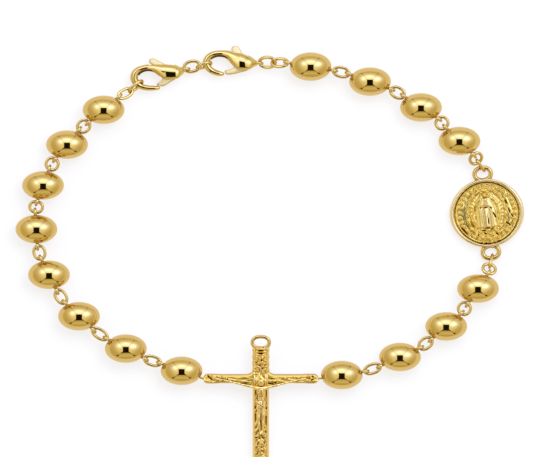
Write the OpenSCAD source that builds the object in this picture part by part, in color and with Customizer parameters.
// Rosary bracelet: sixteen oval beads on wire eye pins, joined by oval links,
// with two lobster clasps, an oval medal and a crucifix, all gold coloured.
// It lies on z = 0. The origin is at the middle of the loop, on the surface.
// X runs along the longer way of the loop, Y towards the clasps, Z up.

/* [Beads] */
// Length of a bead along X
bead_l = 7; // [6.4:0.1:7.2]
// Height and depth of a bead
bead_d = 4.8; // [4.4:0.1:5]
// Radius of the rounding at a bead's two ends
bead_end_r = 1.85; // [1.85:0.05:2]
// Bore for the pin
bore_d = 0.64; // [0.56:0.02:0.8]
// Countersink at each end of the bore
mouth_d = 1.6; // [1.5:0.05:1.8]
// Depth of the countersink below the surface
mouth_depth = 0.42; // [0.38:0.02:0.6]

/* [Pins and links] */
// Thickness of the wire of eyes and links
wire_d = 0.42; // [0.36:0.01:0.46]
// Thickness of a pin's shank
shank_d = 0.38; // [0.3:0.01:0.4]
// Free play between a link and the eye that it hangs in
play = 0.13; // [0.1:0.01:0.14]
// How far an eye's middle stands out of its bead
eye_reach = 0.43; // [0.42:0.01:0.55]
// Length of wire that one chain link is bent from
link_wire = 6.9; // [6.85:0.05:7.1]

/* [Clasps] */
// Height of a hook over its outside
hook_h = 4.4; // [4:0.1:4.6]
// Length of the hook's oval
hook_l = 5.6; // [5.4:0.1:5.8]
// Thickness of the hook
hook_wire = 1; // [0.8:0.05:1.1]
// Widest place of the hollow body
body_d = 3; // [2.8:0.05:3.2]
// Length from the widest place to the tail
body_taper = 2.6; // [2.4:0.1:2.8]
// Thickness at the tail
tail_d = 0.9; // [0.8:0.05:1]
// Thickness of the lever
lever_t = 0.7; // [0.6:0.05:0.8]
// Gap on each face of the lever
lever_gap = 0.1; // [0.06:0.01:0.12]
// Diameter of the pivot pin
pivot_d = 0.7; // [0.6:0.05:0.8]
// Radial clearance of the lever on its pivot
pivot_gap = 0.05; // [0.03:0.01:0.08]
// Width of the thumb knob
knob_w = 1.4; // [1.2:0.1:1.6]
// How far the knob stands out of the body
knob_h = 0.85; // [0.6:0.05:1]

/* [Rings] */
// Thickness of the two jump rings at the clasps' tails
jump_wire = 0.46; // [0.4:0.02:0.5]
// Width of a jump ring
jump_w = 2.2; // [2.1:0.05:2.4]
// Width of the upright links that hold the hooks
hook_link_w = 2.1; // [2.05:0.05:2.2]
// Width of the upright links that hold the medal
medal_link_w = 1.8; // [1.7:0.05:1.85]

/* [Medal] */
// Width of the medal
medal_w = 12.5; // [12:0.1:12.8]
// Height of the medal without its rings
medal_h = 11.5; // [11.2:0.1:11.8]
// Thickness at the rim
medal_t = 1.8; // [1.6:0.1:2]
// Width of the rounded rim
rim_w = 0.9; // [0.8:0.05:1]
// Thickness of the plate inside the rim
plate_t = 1.1; // [1:0.05:1.2]
// Height of the relief above the plate
relief_h = 0.4; // [0.3:0.05:0.5]
// Width of a medal ring
medal_ring_w = 3.5; // [3.3:0.1:3.7]
// Thickness of a medal ring
medal_ring_wire = 0.6; // [0.5:0.05:0.65]
// How far a ring's outer bar lies from the medal's edge
medal_ring_out = 1.85; // [1.8:0.05:1.9]
// Turn of the medal on the surface, in degrees
medal_turn = 6; // [4:0.5:8]

/* [Crucifix] */
// Span of the cross bar
bar_l = 19.2; // [19:0.1:19.3]
// Height of the cross bar
bar_w = 1.45; // [1.3:0.05:1.6]
// Width of the upper shaft
head_w = 2.9; // [2.7:0.1:3.1]
// Length of the upper shaft above the bar's middle
head_l = 5.3; // [5.1:0.1:5.5]
// Width of the lower shaft
shaft_w = 2.55; // [2.4:0.05:2.8]
// Length of the lower shaft below the bar's middle
shaft_l = 18.9; // [18:0.1:19.5]
// Thickness of the cross
cross_t = 1.5; // [1.4:0.05:1.7]
// Width of the hanging ring
cross_ring_w = 3.3; // [3:0.1:3.5]
// Thickness of the hanging ring
cross_ring_wire = 0.5; // [0.45:0.05:0.6]
// Height of the figure's body above the cross
figure_h = 1.1; // [0.9:0.05:1.3]
// Length of the figure from shoulders to feet
figure_l = 7.7; // [7.4:0.1:8]
// Depth of the pin holes in the bar's ends
peg_depth = 1.2; // [0.9:0.1:1.4]
// Radial clearance of the pins in the bar's ends
peg_gap = 0.03; // [0.02:0.01:0.05]

/* [Hidden] */
$fn = 48;
gold = [0.83, 0.66, 0.3];
cast_gold = [0.8, 0.62, 0.22];

// Middles of the beads round the loop, chosen by hand
bead_route = [
    [-26.4, 18.2], [-32.5, 12.4], [-36.5, 5.6], [-37.6, -1.7],
    [-35.5, -9.3], [-30.5, -16.2], [-22.7, -21.6], [-13.4, -25.3],
    [13.3, -26], [23, -23], [30.7, -17.9], [36, -11.6],
    [32.9, 13], [26.5, 18.6], [18, 22.9], [8.1, 25.4]
];
// Middles of the crucifix and the medal, and each clasp's hook end and turn
cross_at = [-0.2, -26.6];
medal_at = [37.5, 1];
clasp_a_at = [-22, 23.4];
clasp_a_turn = 8;
clasp_b_at = [-9.95, 26];
clasp_b_turn = 0;

bead_z = bead_d / 2;
wire_r = wire_d / 2;
// Straight bars are a hair thinner than the bends that they run into
bar_share = 0.97;
// How far a straight bar runs into its bends, as a share of its radius
bar_lap = 0.3;
// An eye is just wide enough for a link's wire and its play
eye_r = wire_d + play;
left_beads = [0:6];
lower_right_beads = [8:10];
upper_right_beads = [12:14];
last_left = 7;
first_right = 8;
last_right = 11;
first_upper = 12;

// A point of the surface plane at a given height
function lift(p, z) = [p[0], p[1], z];
function turned(p, a) = [p[0] * cos(a) - p[1] * sin(a), p[0] * sin(a) + p[1] * cos(a)];
function toward(p, q, d) = p + (q - p) * d / norm(q - p);

// Oval made of four arcs: half length a, half width b and end radius e
function side_r(a, b, e) = ((a - e) * (a - e) + b * b - e * e) / (2 * (b - e));
// Where the side arc meets the end arc, as [along, across]
function meet(a, b, e) = let (s = side_r(a, b, e), k = s / (s - e)) [(a - e) * k, (b - s) * (1 - k)];
// Distance from the oval's middle to its edge at an angle from its length
function oval_reach(a, b, e, angle) =
    let (
        s = side_r(a, b, e),
        m = meet(a, b, e),
        c = abs(cos(angle)),
        n = abs(sin(angle))
    )
    n * m[0] < c * m[1]
        ? (a - e) * c + sqrt(e * e - (a - e) * (a - e) * n * n)
        : sqrt(s * s - (s - b) * (s - b) * c * c) - (s - b) * n;

// Points that the chain is held at
cross_z = bead_z;
bar_left = cross_at - [bar_l / 2, 0];
bar_right = cross_at + [bar_l / 2, 0];
medal_ring_from = medal_h / 2;
medal_bar = medal_ring_from + medal_ring_out;
medal_top = lift(medal_at + turned([0, medal_bar], medal_turn), medal_t / 2);
medal_bottom = lift(medal_at - turned([0, medal_bar], medal_turn), medal_t / 2);

// Direction of each bead's bore, towards the next bead of the route
function bore_from(i) =
    i == 0 ? [hook_a_hold[0], hook_a_hold[1]]
    : i == first_right ? bar_right
    : i == first_upper ? [medal_top[0], medal_top[1]]
    : i == last_left ? 2 * bead_route[i] - bar_left
    : bead_route[i - 1];
function bore_to(i) =
    i == last_left ? bar_left
    : i == first_right ? 2 * bead_route[i] - bar_right
    : i == last_right ? [medal_bottom[0], medal_bottom[1]]
    : i == len(bead_route) - 1 ? [tail_b_hold[0], tail_b_hold[1]]
    : bead_route[i + 1];
function bore_angle(i) =
    let (d = bore_to(i) - bore_from(i)) atan2(d[1], d[0]);
function bead_reach(i) = oval_reach(bead_l / 2, bead_d / 2, bead_end_r, bore_angle(i));
function eye_at(i, side) =
    lift(bead_route[i] + turned([side * (bead_reach(i) + eye_reach), 0], bore_angle(i)), bead_z);

// The clasp's own frame: hook end at x = 0, hook oval on the X axis
hook_r = hook_wire / 2;
hook_a = hook_l / 2 - hook_r;
hook_b = hook_h / 2 - hook_r;
hook_end_r = hook_b * 0.75;
hook_x = hook_l / 2;
hook_tip_angle = 16;
clasp_z = body_d / 2;
body_x = hook_l + body_d / 4;
body_y = body_d * 0.08;
tail_x = body_x + body_taper;
tail_loop_wire = tail_d * 0.6;
tail_loop_r = (tail_loop_wire + jump_wire) / 2 + 1.5 * play;
tail_loop_x = tail_x + tail_d / 2 + tail_loop_r - tail_loop_wire / 4;
slot_x = hook_l * 0.64;
slot_l = body_x + body_taper * 0.5 - slot_x;
pivot_x = body_x - body_d / 8;
pivot_y = body_y + body_d / 10;
function in_clasp(at, turn, p) = lift(at + turned([p[0], p[1]], turn), clasp_z + p[2]);

// Where the chain holds the clasps, each at the middle of the wire that it holds
hook_inside = hook_wire + wire_r + play;
hook_a_inside = in_clasp(clasp_a_at, clasp_a_turn, [hook_inside + 0.62, -hook_b * 0.42, 0]);
hook_a_hold = in_clasp(clasp_a_at, clasp_a_turn, [-wire_d, -hook_b - hook_wire * 0.4, 0.2]);
hook_b_inside = in_clasp(clasp_b_at, clasp_b_turn, [hook_inside + play, 0, 0]);
tail_a_hold = in_clasp(clasp_a_at, clasp_a_turn, [tail_loop_x, 0, 0]);
tail_b_hold = in_clasp(clasp_b_at, clasp_b_turn, [tail_loop_x, 0, 0]);
jump_a_end = toward(hook_b_inside, tail_a_hold, hook_inside + wire_d + play);
ring_step = (wire_d + jump_wire) / 2 + play;
hook_b_hold = toward(jump_a_end, tail_a_hold, ring_step);
link_step = wire_d + play;
end_b_near = eye_at(len(bead_route) - 1, 1);
jump_b_end = tail_b_hold + (end_b_near - tail_b_hold) * 0.58;
end_b_far = toward(jump_b_end, tail_b_hold, ring_step);

// Round bar bent to an arc about the origin in the XY plane
module tube_arc(bend_r, bar_r, from, sweep) {
    rotate([0, 0, from])
        rotate_extrude(angle = sweep)
            translate([bend_r, 0])
                circle(bar_r);
}

// Straight bar along X, lapped into the bends at both of its ends
module lapped_bar(span, bar_r) {
    translate([-bar_r * bar_lap, 0, 0])
        rotate([0, 90, 0])
            cylinder(r = bar_r * bar_share, h = span + 2 * bar_r * bar_lap);
}

// Closed oval ring from x = 0 to x = span, measured at the middle of its wire
module oval_ring(span, width, bar_r) {
    bend = min(span, width) / 2;
    straight = abs(span - width);
    if (straight < bar_r)
        translate([span / 2, 0, 0])
            tube_arc(span / 2, bar_r, 0, 360);
    else
        translate([span / 2, 0, 0])
            rotate([0, 0, span > width ? 0 : 90])
                for (side = [0, 180])
                    rotate([0, 0, side]) {
                        translate([straight / 2, 0, 0])
                            tube_arc(bend, bar_r, -90, 180);
                        translate([-straight / 2, bend, 0])
                            lapped_bar(straight, bar_r);
                    }
}

// Ring whose wire passes through two points; roll 0 lies flat, 90 stands upright
module ring_between(p, q, width, bar_r, roll) {
    d = q - p;
    translate(p)
        rotate([roll, -asin(d[2] / norm(d)), atan2(d[1], d[0])])
            oval_ring(norm(d), width, bar_r);
}

// Width of a link bent from one length of wire, for a given span
function link_width(span) =
    let (across = (link_wire - 2 * span) / (PI - 2))
    across < span ? across : (link_wire - (PI - 2) * span) / 2;

module chain_link(p, q) {
    color(gold)
        ring_between(p, q, link_width(norm(q - p)), wire_r, 0);
}

module chain_run(beads) {
    for (i = beads)
        chain_link(eye_at(i, 1), eye_at(i + 1, -1));
}

// Bar with ball ends of two sizes, from the origin along Z
module round_cone(r1, r2, span) {
    slope = (r1 - r2) / span;
    across = sqrt(1 - slope * slope);
    rotate_extrude() {
        intersection() {
            circle(r1);
            translate([0, -r1])
                square([r1, r1 + r1 * slope]);
        }
        polygon([
            [0, r1 * slope], [r1 * across, r1 * slope],
            [r2 * across, span + r2 * slope], [0, span + r2 * slope]
        ]);
        intersection() {
            translate([0, span])
                circle(r2);
            translate([0, span + r2 * slope])
                square([r2, r2]);
        }
    }
}

module limb(p, q, r1, r2) {
    d = q - p;
    translate(p)
        rotate([0, acos(d[2] / norm(d)), atan2(d[1], d[0])])
            round_cone(r1, r2, norm(d));
}

// Half of the four-arc oval, standing on its length
module half_oval(a, b, e) {
    s = side_r(a, b, e);
    m = meet(a, b, e);
    intersection() {
        translate([b - s, 0])
            circle(s, $fn = 96);
        translate([0, -m[0]])
            square([b, 2 * m[0]]);
    }
    for (side = [0, 1])
        mirror([0, side])
            intersection() {
                translate([0, a - e])
                    circle(e);
                translate([0, m[0]])
                    square([b, a]);
            }
}

module bead(i) {
    reach = bead_reach(i);
    color(gold)
        translate(lift(bead_route[i], bead_z))
            difference() {
                rotate([0, 90, 0])
                    rotate_extrude()
                        half_oval(bead_l / 2, bead_d / 2, bead_end_r);
                rotate([0, 90, bore_angle(i)]) {
                    cylinder(d = bore_d, h = 2 * bead_l, center = true);
                    for (side = [0, 1])
                        mirror([0, 0, side])
                            translate([0, 0, reach - mouth_depth])
                                cylinder(d = mouth_d, h = bead_l);
                }
            }
}

// Upright eye whose middle is at the origin
module eye() {
    rotate([90, 0, 0])
        tube_arc(eye_r, wire_r, 0, 360);
}

// Length of a pin's straight part on one side of its bead
function shank_end(i) = bead_reach(i) + eye_reach - eye_r;

module eye_pin(i) {
    color(gold)
        translate(lift(bead_route[i], bead_z))
            rotate([0, 0, bore_angle(i)]) {
                translate([-shank_end(i), 0, 0])
                    rotate([0, 90, 0])
                        cylinder(d = shank_d, h = 2 * shank_end(i));
                for (side = [-1, 1])
                    translate([side * (bead_reach(i) + eye_reach), 0, 0])
                        eye();
            }
}

// Pin with one eye, whose plain end is soldered into the cross bar
module peg_pin(i, bar_end) {
    side = i == last_left ? 1 : -1;
    peg = norm(bar_end - bead_route[i]) + peg_depth;
    color(gold)
        translate(lift(bead_route[i], bead_z))
            rotate([0, 0, bore_angle(i) + (side > 0 ? 0 : 180)]) {
                translate([-shank_end(i), 0, 0])
                    rotate([0, 90, 0])
                        cylinder(d = shank_d, h = shank_end(i) + peg);
                translate([-bead_reach(i) - eye_reach, 0, 0])
                    eye();
            }
}

// Blind hole for a pin in one end of the cross bar
module peg_hole(i, bar_end) {
    side = i == last_left ? 1 : -1;
    translate(lift(bead_route[i], bead_z))
        rotate([0, 90, bore_angle(i) + (side > 0 ? 0 : 180)])
            cylinder(
                d = shank_d + 2 * peg_gap,
                h = norm(bar_end - bead_route[i]) + peg_depth + peg_gap
            );
}

module on_clasp(at, turn) {
    translate(lift(at, clasp_z))
        rotate([0, 0, turn])
            children();
}

// Hook of three arcs, from the body over the round end to the tip
module hook() {
    s = side_r(hook_a, hook_b, hook_end_r);
    end_x = hook_x - (hook_a - hook_end_r);
    half = atan2(s - hook_b, hook_a - hook_end_r);
    lap = 4;
    translate([end_x, 0, 0])
        tube_arc(hook_end_r, hook_r, 180 - half, 2 * half);
    translate([hook_x, hook_b - s, 0])
        tube_arc(s, hook_r * bar_share, 80, 100 - half + lap);
    translate([hook_x, s - hook_b, 0]) {
        tube_arc(s, hook_r * bar_share, 180 + half - lap, 90 - half + lap + hook_tip_angle);
        rotate([0, 0, hook_tip_angle - 90])
            translate([s, 0, 0])
                sphere(hook_r * 1.02);
    }
}

// Drop turned about Z: round end of radius r1, bowed sides, tail of radius r2
module teardrop(r1, r2, span) {
    bow = (span * span + (r1 - r2) * (r1 - r2)) / (2 * (r1 - r2));
    rotate_extrude() {
        intersection() {
            circle(r1);
            translate([0, -r1])
                square([r1, r1]);
        }
        intersection() {
            translate([r1 - bow, 0])
                circle(bow, $fn = 96);
            square([r1, span]);
        }
        intersection() {
            translate([0, span])
                circle(r2);
            translate([0, span])
                square([r2, r2]);
        }
    }
}

// Drop lying in the XY plane, thick at p and thin at q
module drop_between(p, q, r1, r2) {
    d = q - p;
    translate(p)
        rotate([0, 90, atan2(d[1], d[0])])
            teardrop(r1, r2, norm(d));
}

// Hollow body, open on its two edges for the lever
module clasp_body(at, turn) {
    slot_h = lever_t + 2 * lever_gap;
    color(gold)
        on_clasp(at, turn) {
            hook();
            difference() {
                union() {
                    drop_between(
                        [body_x - body_d * 0.2, body_y + body_d * 0.08],
                        [hook_x + hook_r * 0.2, hook_b - hook_r * 0.04],
                        body_d * 0.42, hook_r * 1.12
                    );
                    drop_between([body_x, body_y], [tail_x, 0], body_d / 2, tail_d / 2);
                }
                translate([slot_x, -body_d, -slot_h / 2])
                    cube([slot_l, 2 * body_d, slot_h]);
                translate([pivot_x, pivot_y, -body_d])
                    cylinder(d = pivot_d + 2 * peg_gap, h = body_d + body_d * 0.4);
            }
            translate([tail_loop_x, 0, 0])
                rotate([90, 0, 0])
                    tube_arc(tail_loop_r, tail_loop_wire / 2, 0, 360);
        }
}

// Rivet that closes the body's underside, short of its polished top
module clasp_pivot(at, turn) {
    color(gold)
        on_clasp(at, turn)
            translate([pivot_x, pivot_y, -body_d * 0.42])
                cylinder(d = pivot_d, h = body_d * 0.8);
}

// Flat lever on the pivot, with a gate to the hook's tip and a thumb knob; lean
// moves the knob towards the hook
module clasp_lever(at, turn, lean) {
    tip_x = hook_x + (side_r(hook_a, hook_b, hook_end_r)) * sin(hook_tip_angle);
    gate_x = tip_x + hook_r * 1.26;
    gate_y = -hook_b * 0.86;
    boss = body_d * 0.27;
    knob_x = pivot_x - lean;
    knob_top = body_y + body_d / 2 + knob_h;
    corner = knob_w * 0.2;
    color(gold)
        on_clasp(at, turn)
            translate([0, 0, -lever_t / 2])
                linear_extrude(lever_t)
                    difference() {
                        union() {
                            translate([pivot_x, pivot_y])
                                circle(boss);
                            polygon([
                                [pivot_x + boss * 0.8, pivot_y],
                                [knob_x + knob_w / 2, knob_top - knob_h * 0.8],
                                [knob_x + knob_w * 0.3, knob_top - corner],
                                [knob_x - knob_w * 0.4, knob_top - corner],
                                [knob_x - knob_w / 2, knob_top - knob_h * 0.8],
                                [pivot_x - boss * 0.8, pivot_y],
                                [pivot_x - boss * 1.1, -hook_b * 0.18],
                                [gate_x + hook_wire * 0.3, gate_y + hook_wire * 0.62],
                                [gate_x, gate_y + hook_wire * 0.32],
                                [gate_x + hook_wire * 0.1, gate_y + hook_wire * 0.02],
                                [gate_x + hook_wire * 0.62, gate_y - hook_wire * 0.22],
                                [pivot_x + boss * 0.4, -hook_b * 0.72]
                            ]);
                            translate([knob_x - knob_w * 0.05, knob_top - corner])
                                circle(knob_w * 0.3);
                        }
                        translate([pivot_x, pivot_y])
                            circle(d = pivot_d + 2 * pivot_gap);
                    }
}

// Places on the medal as shares of its half width and half height
dot_count = 28;
ray_count = 24;
// The robed figure from hem to head: [height, half width]
robe_rows = [[-0.62, 0.24], [-0.4, 0.25], [-0.1, 0.22], [0.12, 0.2], [0.26, 0.14]];

module medal_face() {
    a = medal_w / 2;
    b = medal_h / 2;
    inner_a = a - rim_w;
    inner_b = b - rim_w;
    top = plate_t - relief_h * 0.1;
    // Dots round the edge of the field
    for (k = [0:dot_count - 1])
        translate([
            inner_a * 0.86 * cos(k * 360 / dot_count),
            inner_b * 0.86 * sin(k * 360 / dot_count),
            top
        ])
            cylinder(r1 = medal_h * 0.019, r2 = medal_h * 0.014, h = relief_h * 0.7);
    // Rays round the figure
    for (k = [0:ray_count - 1])
        rotate([0, 0, 360 * (k + 0.5) / ray_count])
            translate([inner_b * 0.44, -medal_h * 0.006, top])
                cube([inner_b * 0.26, medal_h * 0.012, relief_h * 0.5]);
    // Robe, shoulders, head and joined hands
    translate([0, 0, top])
        linear_extrude(relief_h * 0.8)
            polygon(concat(
                [for (r = robe_rows) [r[1] * inner_b, r[0] * inner_b]],
                [for (k = [len(robe_rows) - 1:-1:0])
                    [-robe_rows[k][1] * inner_b, robe_rows[k][0] * inner_b]]
            ));
    translate([0, inner_b * 0.38, top])
        cylinder(r = inner_b * 0.13, h = relief_h);
    translate([-inner_b * 0.03, -inner_b * 0.02, top])
        cube([inner_b * 0.06, inner_b * 0.2, relief_h * 1.2]);
}

// Steps that round the rim off, as shares of its width: [inset, drop from the top]
rim_steps = [[0, 0.4], [0.12, 0.16], [0.26, 0]];

// The rim between two ovals, narrowed by an inset on each side
module rim_band(a, b, e, inset) {
    difference() {
        oval_plate(a - inset, b - inset, e - inset);
        oval_plate(a - rim_w + inset, b - rim_w + inset, e - rim_w + inset);
    }
}

module medal() {
    a = medal_w / 2;
    b = medal_h / 2;
    e = b * 0.85;
    color(cast_gold)
        translate(lift(medal_at, 0))
            rotate([0, 0, medal_turn]) {
                linear_extrude(plate_t)
                    oval_plate(a - rim_w / 2, b - rim_w / 2, e - rim_w / 2);
                for (step = rim_steps)
                    linear_extrude(medal_t - rim_w * step[1])
                        rim_band(a, b, e, rim_w * step[0]);
                medal_face();
                for (side = [0, 1])
                    mirror([0, side])
                        translate([0, medal_ring_from, medal_t / 2])
                            rotate([0, 0, 90])
                                oval_ring(
                                    medal_ring_out, medal_ring_w - medal_ring_wire,
                                    medal_ring_wire / 2
                                );
            }
}

// Whole four-arc oval in the XY plane, its length along X
module oval_plate(a, b, e) {
    for (side = [0, 1])
        mirror([0, side])
            rotate(90)
                mirror([0, 1])
                    half_oval(a, b, e);
}

// Tilt that brings the foot of the cross down to the surface
cross_tilt =
    asin(cross_z / norm([shaft_l, cross_t / 2])) - atan2(cross_t / 2, shaft_l);

// Width of a bar beside the slightly bulging end that closes it
end_share = 0.93;
// Scallops along the upper shaft, as shares of its length
scallops = [0.42, 0.58, 0.74];

module cross_bar() {
    w = bar_w / 2;
    x = bar_l / 2 - w;
    translate([-x, -w * end_share, -cross_t / 2])
        cube([2 * x, 2 * w * end_share, cross_t]);
    for (side = [-1, 1])
        translate([side * x, 0, -cross_t / 2])
            cylinder(r = w, h = cross_t);
}

module cross_shaft() {
    translate([-shaft_w * end_share / 2, -shaft_l + shaft_w / 2, -cross_t / 2])
        cube([shaft_w * end_share, shaft_l - shaft_w / 2, cross_t]);
    translate([0, -shaft_l + shaft_w / 2, -cross_t / 2])
        cylinder(d = shaft_w, h = cross_t);
    translate([-head_w * 0.45, 0, -cross_t / 2])
        cube([head_w * 0.9, head_l, cross_t]);
    for (share = scallops)
        translate([0, head_l * share, -cross_t / 2])
            for (side = [-1, 1])
                translate([side * head_w * 0.36, 0, 0])
                    cylinder(r = head_w * 0.14, h = cross_t);
}

// The figure, cast in one with the cross: limbs sized from its length
module figure() {
    u = figure_l / 7.7;
    z = cross_t / 2;
    hip = [0, -4.2 * u, z + figure_h * 0.35];
    neck = [0, -1.1 * u, z + figure_h * 0.45];
    head = [0.1 * u, -0.2 * u, z + figure_h * 0.7];
    knee = [0.28 * u, -6.6 * u, z + figure_h * 0.45];
    foot = [0, -9 * u, z + figure_h * 0.1];
    limb(neck, hip, 1.05 * u, 0.8 * u);
    translate(head)
        sphere(0.78 * u);
    limb(hip, hip - [0, 1 * u, 0], 1.1 * u, 0.95 * u);
    for (side = [0, 1])
        mirror([side, 0, 0]) {
            elbow = [bar_l * 0.2, -0.6 * u, z + figure_h * 0.2];
            hand = [bar_l * 0.43, 0, z + figure_h * 0.04];
            limb(neck + [0.75 * u, -0.1 * u, -0.1 * u], elbow, 0.58 * u, 0.45 * u);
            limb(elbow, hand, 0.42 * u, 0.35 * u);
            limb(hip + [0.4 * u, 0, 0], knee, 0.6 * u, 0.42 * u);
        }
    limb([0, knee[1] + 0.1 * u, knee[2] - 0.05 * u], foot, 0.55 * u, 0.35 * u);
}

// Bare title plate on the upper shaft and a boss below the feet
module cross_ornament() {
    z = cross_t / 2 - figure_h * 0.1;
    translate([-head_w * 0.32, head_l * 0.8, z])
        cube([head_w * 0.64, head_l * 0.16, figure_h * 0.4]);
    translate([0, -figure_l * 1.42, z])
        cylinder(d1 = shaft_w * 0.6, d2 = shaft_w * 0.4, h = figure_h * 0.5);
}

module crucifix() {
    color(cast_gold)
        difference() {
            translate(lift(cross_at, cross_z))
                rotate([cross_tilt, 0, 0]) {
                    cross_bar();
                    cross_shaft();
                    figure();
                    cross_ornament();
                    translate([0, head_l, 0])
                        rotate([0, 0, 90])
                            oval_ring(
                                cross_ring_w / 2, cross_ring_w - cross_ring_wire,
                                cross_ring_wire / 2
                            );
                }
            peg_hole(last_left, bar_left);
            peg_hole(first_right, bar_right);
        }
}

module upright(p, q, width) {
    color(gold)
        ring_between(p, q, width - wire_d, wire_r, 90);
}

// The two links between a bead's eye and a medal ring
medal_link_share = 0.6;
medal_step = (wire_d + medal_ring_wire) / 2 + play;
function medal_turn_point(eye, bar) = eye + (bar - eye) * medal_link_share;
eye_above_medal = eye_at(first_upper, -1);
eye_below_medal = eye_at(last_right, 1);

module medal_flat_link(eye, bar) {
    chain_link(eye, medal_turn_point(eye, bar));
}

module medal_upright_link(eye, bar) {
    turn_point = medal_turn_point(eye, bar);
    upright(
        toward(turn_point, eye, link_step),
        bar + (bar - turn_point) * medal_step / norm(bar - turn_point),
        medal_link_w
    );
}

module clasp_a_end_link() {
    near = eye_at(0, -1);
    chain_link(near, hook_a_hold + (hook_a_hold - near) * link_step / norm(hook_a_hold - near));
}

module clasp_jump_ring(p, q, roll) {
    color(gold)
        ring_between(p, q, jump_w - jump_wire, jump_wire / 2, roll);
}

bead(0);  // bead_01
bead(1);  // bead_02
bead(2);  // bead_03
bead(3);  // bead_04
bead(4);  // bead_05
bead(5);  // bead_06
bead(6);  // bead_07
bead(7);  // bead_08
bead(8);  // bead_09
bead(9);  // bead_10
bead(10);  // bead_11
bead(11);  // bead_12
bead(12);  // bead_13
bead(13);  // bead_14
bead(14);  // bead_15
bead(15);  // bead_16
eye_pin(0);  // eye_pin_01
eye_pin(1);  // eye_pin_02
eye_pin(2);  // eye_pin_03
eye_pin(3);  // eye_pin_04
eye_pin(4);  // eye_pin_05
eye_pin(5);  // eye_pin_06
eye_pin(6);  // eye_pin_07
peg_pin(last_left, bar_left);  // eye_pin_08
peg_pin(first_right, bar_right);  // eye_pin_09
eye_pin(9);  // eye_pin_10
eye_pin(10);  // eye_pin_11
eye_pin(11);  // eye_pin_12
eye_pin(12);  // eye_pin_13
eye_pin(13);  // eye_pin_14
eye_pin(14);  // eye_pin_15
eye_pin(15);  // eye_pin_16
chain_run(left_beads);  // links_left
chain_run(lower_right_beads);  // links_lower_right
chain_run(upper_right_beads);  // links_upper_right
clasp_a_end_link();
upright(hook_a_hold, hook_a_inside, hook_link_w);  // clasp_a_hook_link
clasp_body(clasp_a_at, clasp_a_turn);  // clasp_a_body
clasp_lever(clasp_a_at, clasp_a_turn, 1.5);  // clasp_a_lever
clasp_pivot(clasp_a_at, clasp_a_turn);  // clasp_a_pivot
clasp_jump_ring(tail_a_hold, jump_a_end, 0);  // clasp_a_jump_ring
upright(hook_b_hold, hook_b_inside, hook_link_w);  // clasp_b_hook_link
clasp_body(clasp_b_at, clasp_b_turn);  // clasp_b_body
clasp_lever(clasp_b_at, clasp_b_turn, 0.3);  // clasp_b_lever
clasp_pivot(clasp_b_at, clasp_b_turn);  // clasp_b_pivot
clasp_jump_ring(tail_b_hold, jump_b_end, 30);  // clasp_b_jump_ring
color(gold)  // clasp_b_end_link
        ring_between(end_b_near, end_b_far, link_width(norm(end_b_far - end_b_near)), wire_r, 28);
medal();
medal_flat_link(eye_above_medal, medal_top);  // medal_top_link
medal_upright_link(eye_above_medal, medal_top);  // medal_top_upright
medal_flat_link(eye_below_medal, medal_bottom);  // medal_bottom_link
medal_upright_link(eye_below_medal, medal_bottom);  // medal_bottom_upright
crucifix();
